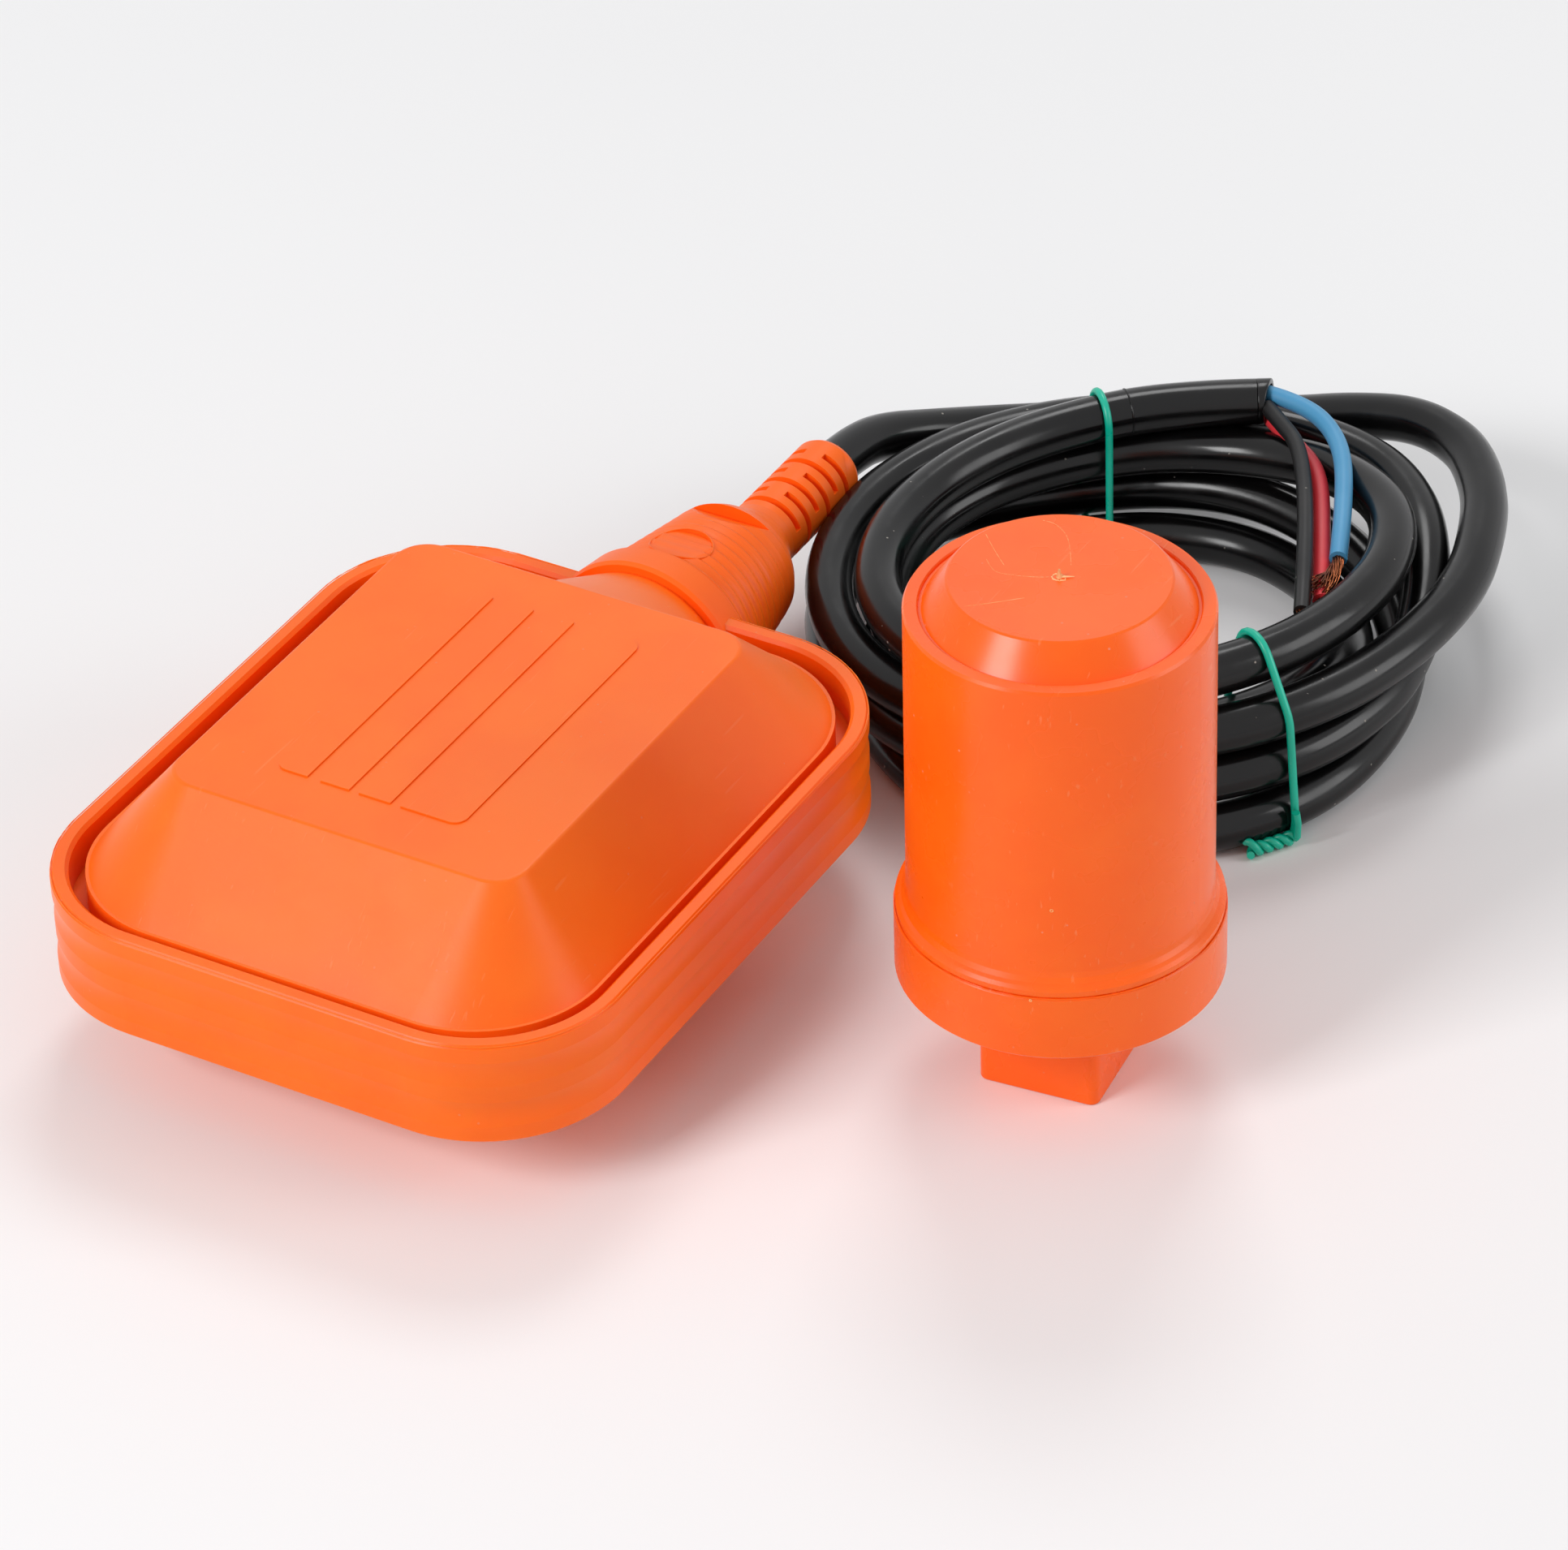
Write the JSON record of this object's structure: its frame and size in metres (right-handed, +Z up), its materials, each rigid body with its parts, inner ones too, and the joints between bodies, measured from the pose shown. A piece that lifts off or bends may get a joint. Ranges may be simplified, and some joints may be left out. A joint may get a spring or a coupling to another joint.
{
  "type": "float level switch",
  "caption": "Flat rounded float with a ball-and-lever switch inside, a ribbed cable boot, a tied coil of cable with bared cores, and a loose cylindrical counterweight.",
  "frame": {"origin": "on the floor under the middle of the box round the float, its boot and the counterweight, without the free cable", "axes": "+Z up; +Y along the float, towards its cable boot; +X from the float towards the counterweight"},
  "size_m": [0.1732, 0.2455, 0.092],
  "materials": {
    "float_plastic": "satin",
    "rim_plastic": "satin",
    "boot_plastic": "satin",
    "weight_plastic": "satin",
    "cable_jacket": "glossy",
    "seal_rubber": "matt",
    "white_plastic": "satin",
    "plated_steel": "plated",
    "ball_steel": "polished",
    "switch_plastic": "satin",
    "cover_plastic": "satin",
    "contact_metal": "bright",
    "lever_steel": "bright",
    "plunger_plastic": "gloss",
    "core_blue": "gloss",
    "core_red": "gloss",
    "core_black": "gloss",
    "ballast_iron": "rough",
    "tie_plastic": "gloss"
  },
  "bodies": {
    "housing": {"float_upper_shell": "float_plastic", "float_lower_shell": "float_plastic", "rim_band": "rim_plastic", "cable_boot": "boot_plastic", "cable_inlet": "cable_jacket", "cable_seal": "seal_rubber", "cable_clamp": "white_plastic", "clamp_screws": "plated_steel", "switch_carrier": "white_plastic", "channel_lid": "white_plastic", "carrier_screws": "plated_steel", "switch_case": "switch_plastic", "switch_cover": "cover_plastic", "switch_screws": "plated_steel", "terminal_common": "contact_metal", "terminal_open": "contact_metal", "terminal_closed": "contact_metal", "lever_pin": "lever_steel", "lead_blue": "core_blue", "lead_black": "core_black", "lead_red": "core_red", "weight_body": "weight_plastic", "weight_cap": "weight_plastic", "weight_ballast": "ballast_iron", "cable_coil": "cable_jacket", "cable_lead": "cable_jacket", "core_blue": "core_blue", "core_red": "core_red", "core_black": "core_black", "tie_back": "tie_plastic", "tie_front": "tie_plastic"},
    "ball": {"steel_ball": "ball_steel"},
    "lever": {"switch_lever": "lever_steel"},
    "plunger": {"switch_plunger": "plunger_plastic"},
    "contact": {"moving_contact": "contact_metal"}
  },
  "joints": [
    {"name": "ball_roll", "type": "slide", "parent": "housing", "child": "ball", "axis": [0, 1, 0], "range_m": [0, 0.02988]},
    {"name": "lever_press", "type": "hinge", "parent": "housing", "child": "lever", "pos_m": [-0.02535, -0.0225, 0.0225], "axis": [0, 0, -1], "range_deg": [0, 7.5], "stiffness_Nm_per_rad": 0.04},
    {"name": "plunger_slide", "type": "slide", "parent": "housing", "child": "plunger", "axis": [0, 1, 0], "range_m": [0, 0.00066]},
    {"name": "contact_turn", "type": "hinge", "parent": "housing", "child": "contact", "pos_m": [-0.04635, -0.0175, 0.0225], "axis": [0, 0, 1], "range_deg": [0, 2.52]}
  ],
  "couplings": [
    {"joint": "plunger_slide", "follows": "lever_press", "m_per_rad": 0.0045837},
    {"joint": "contact_turn", "follows": "lever_press", "ratio": 0.30558}
  ]
}
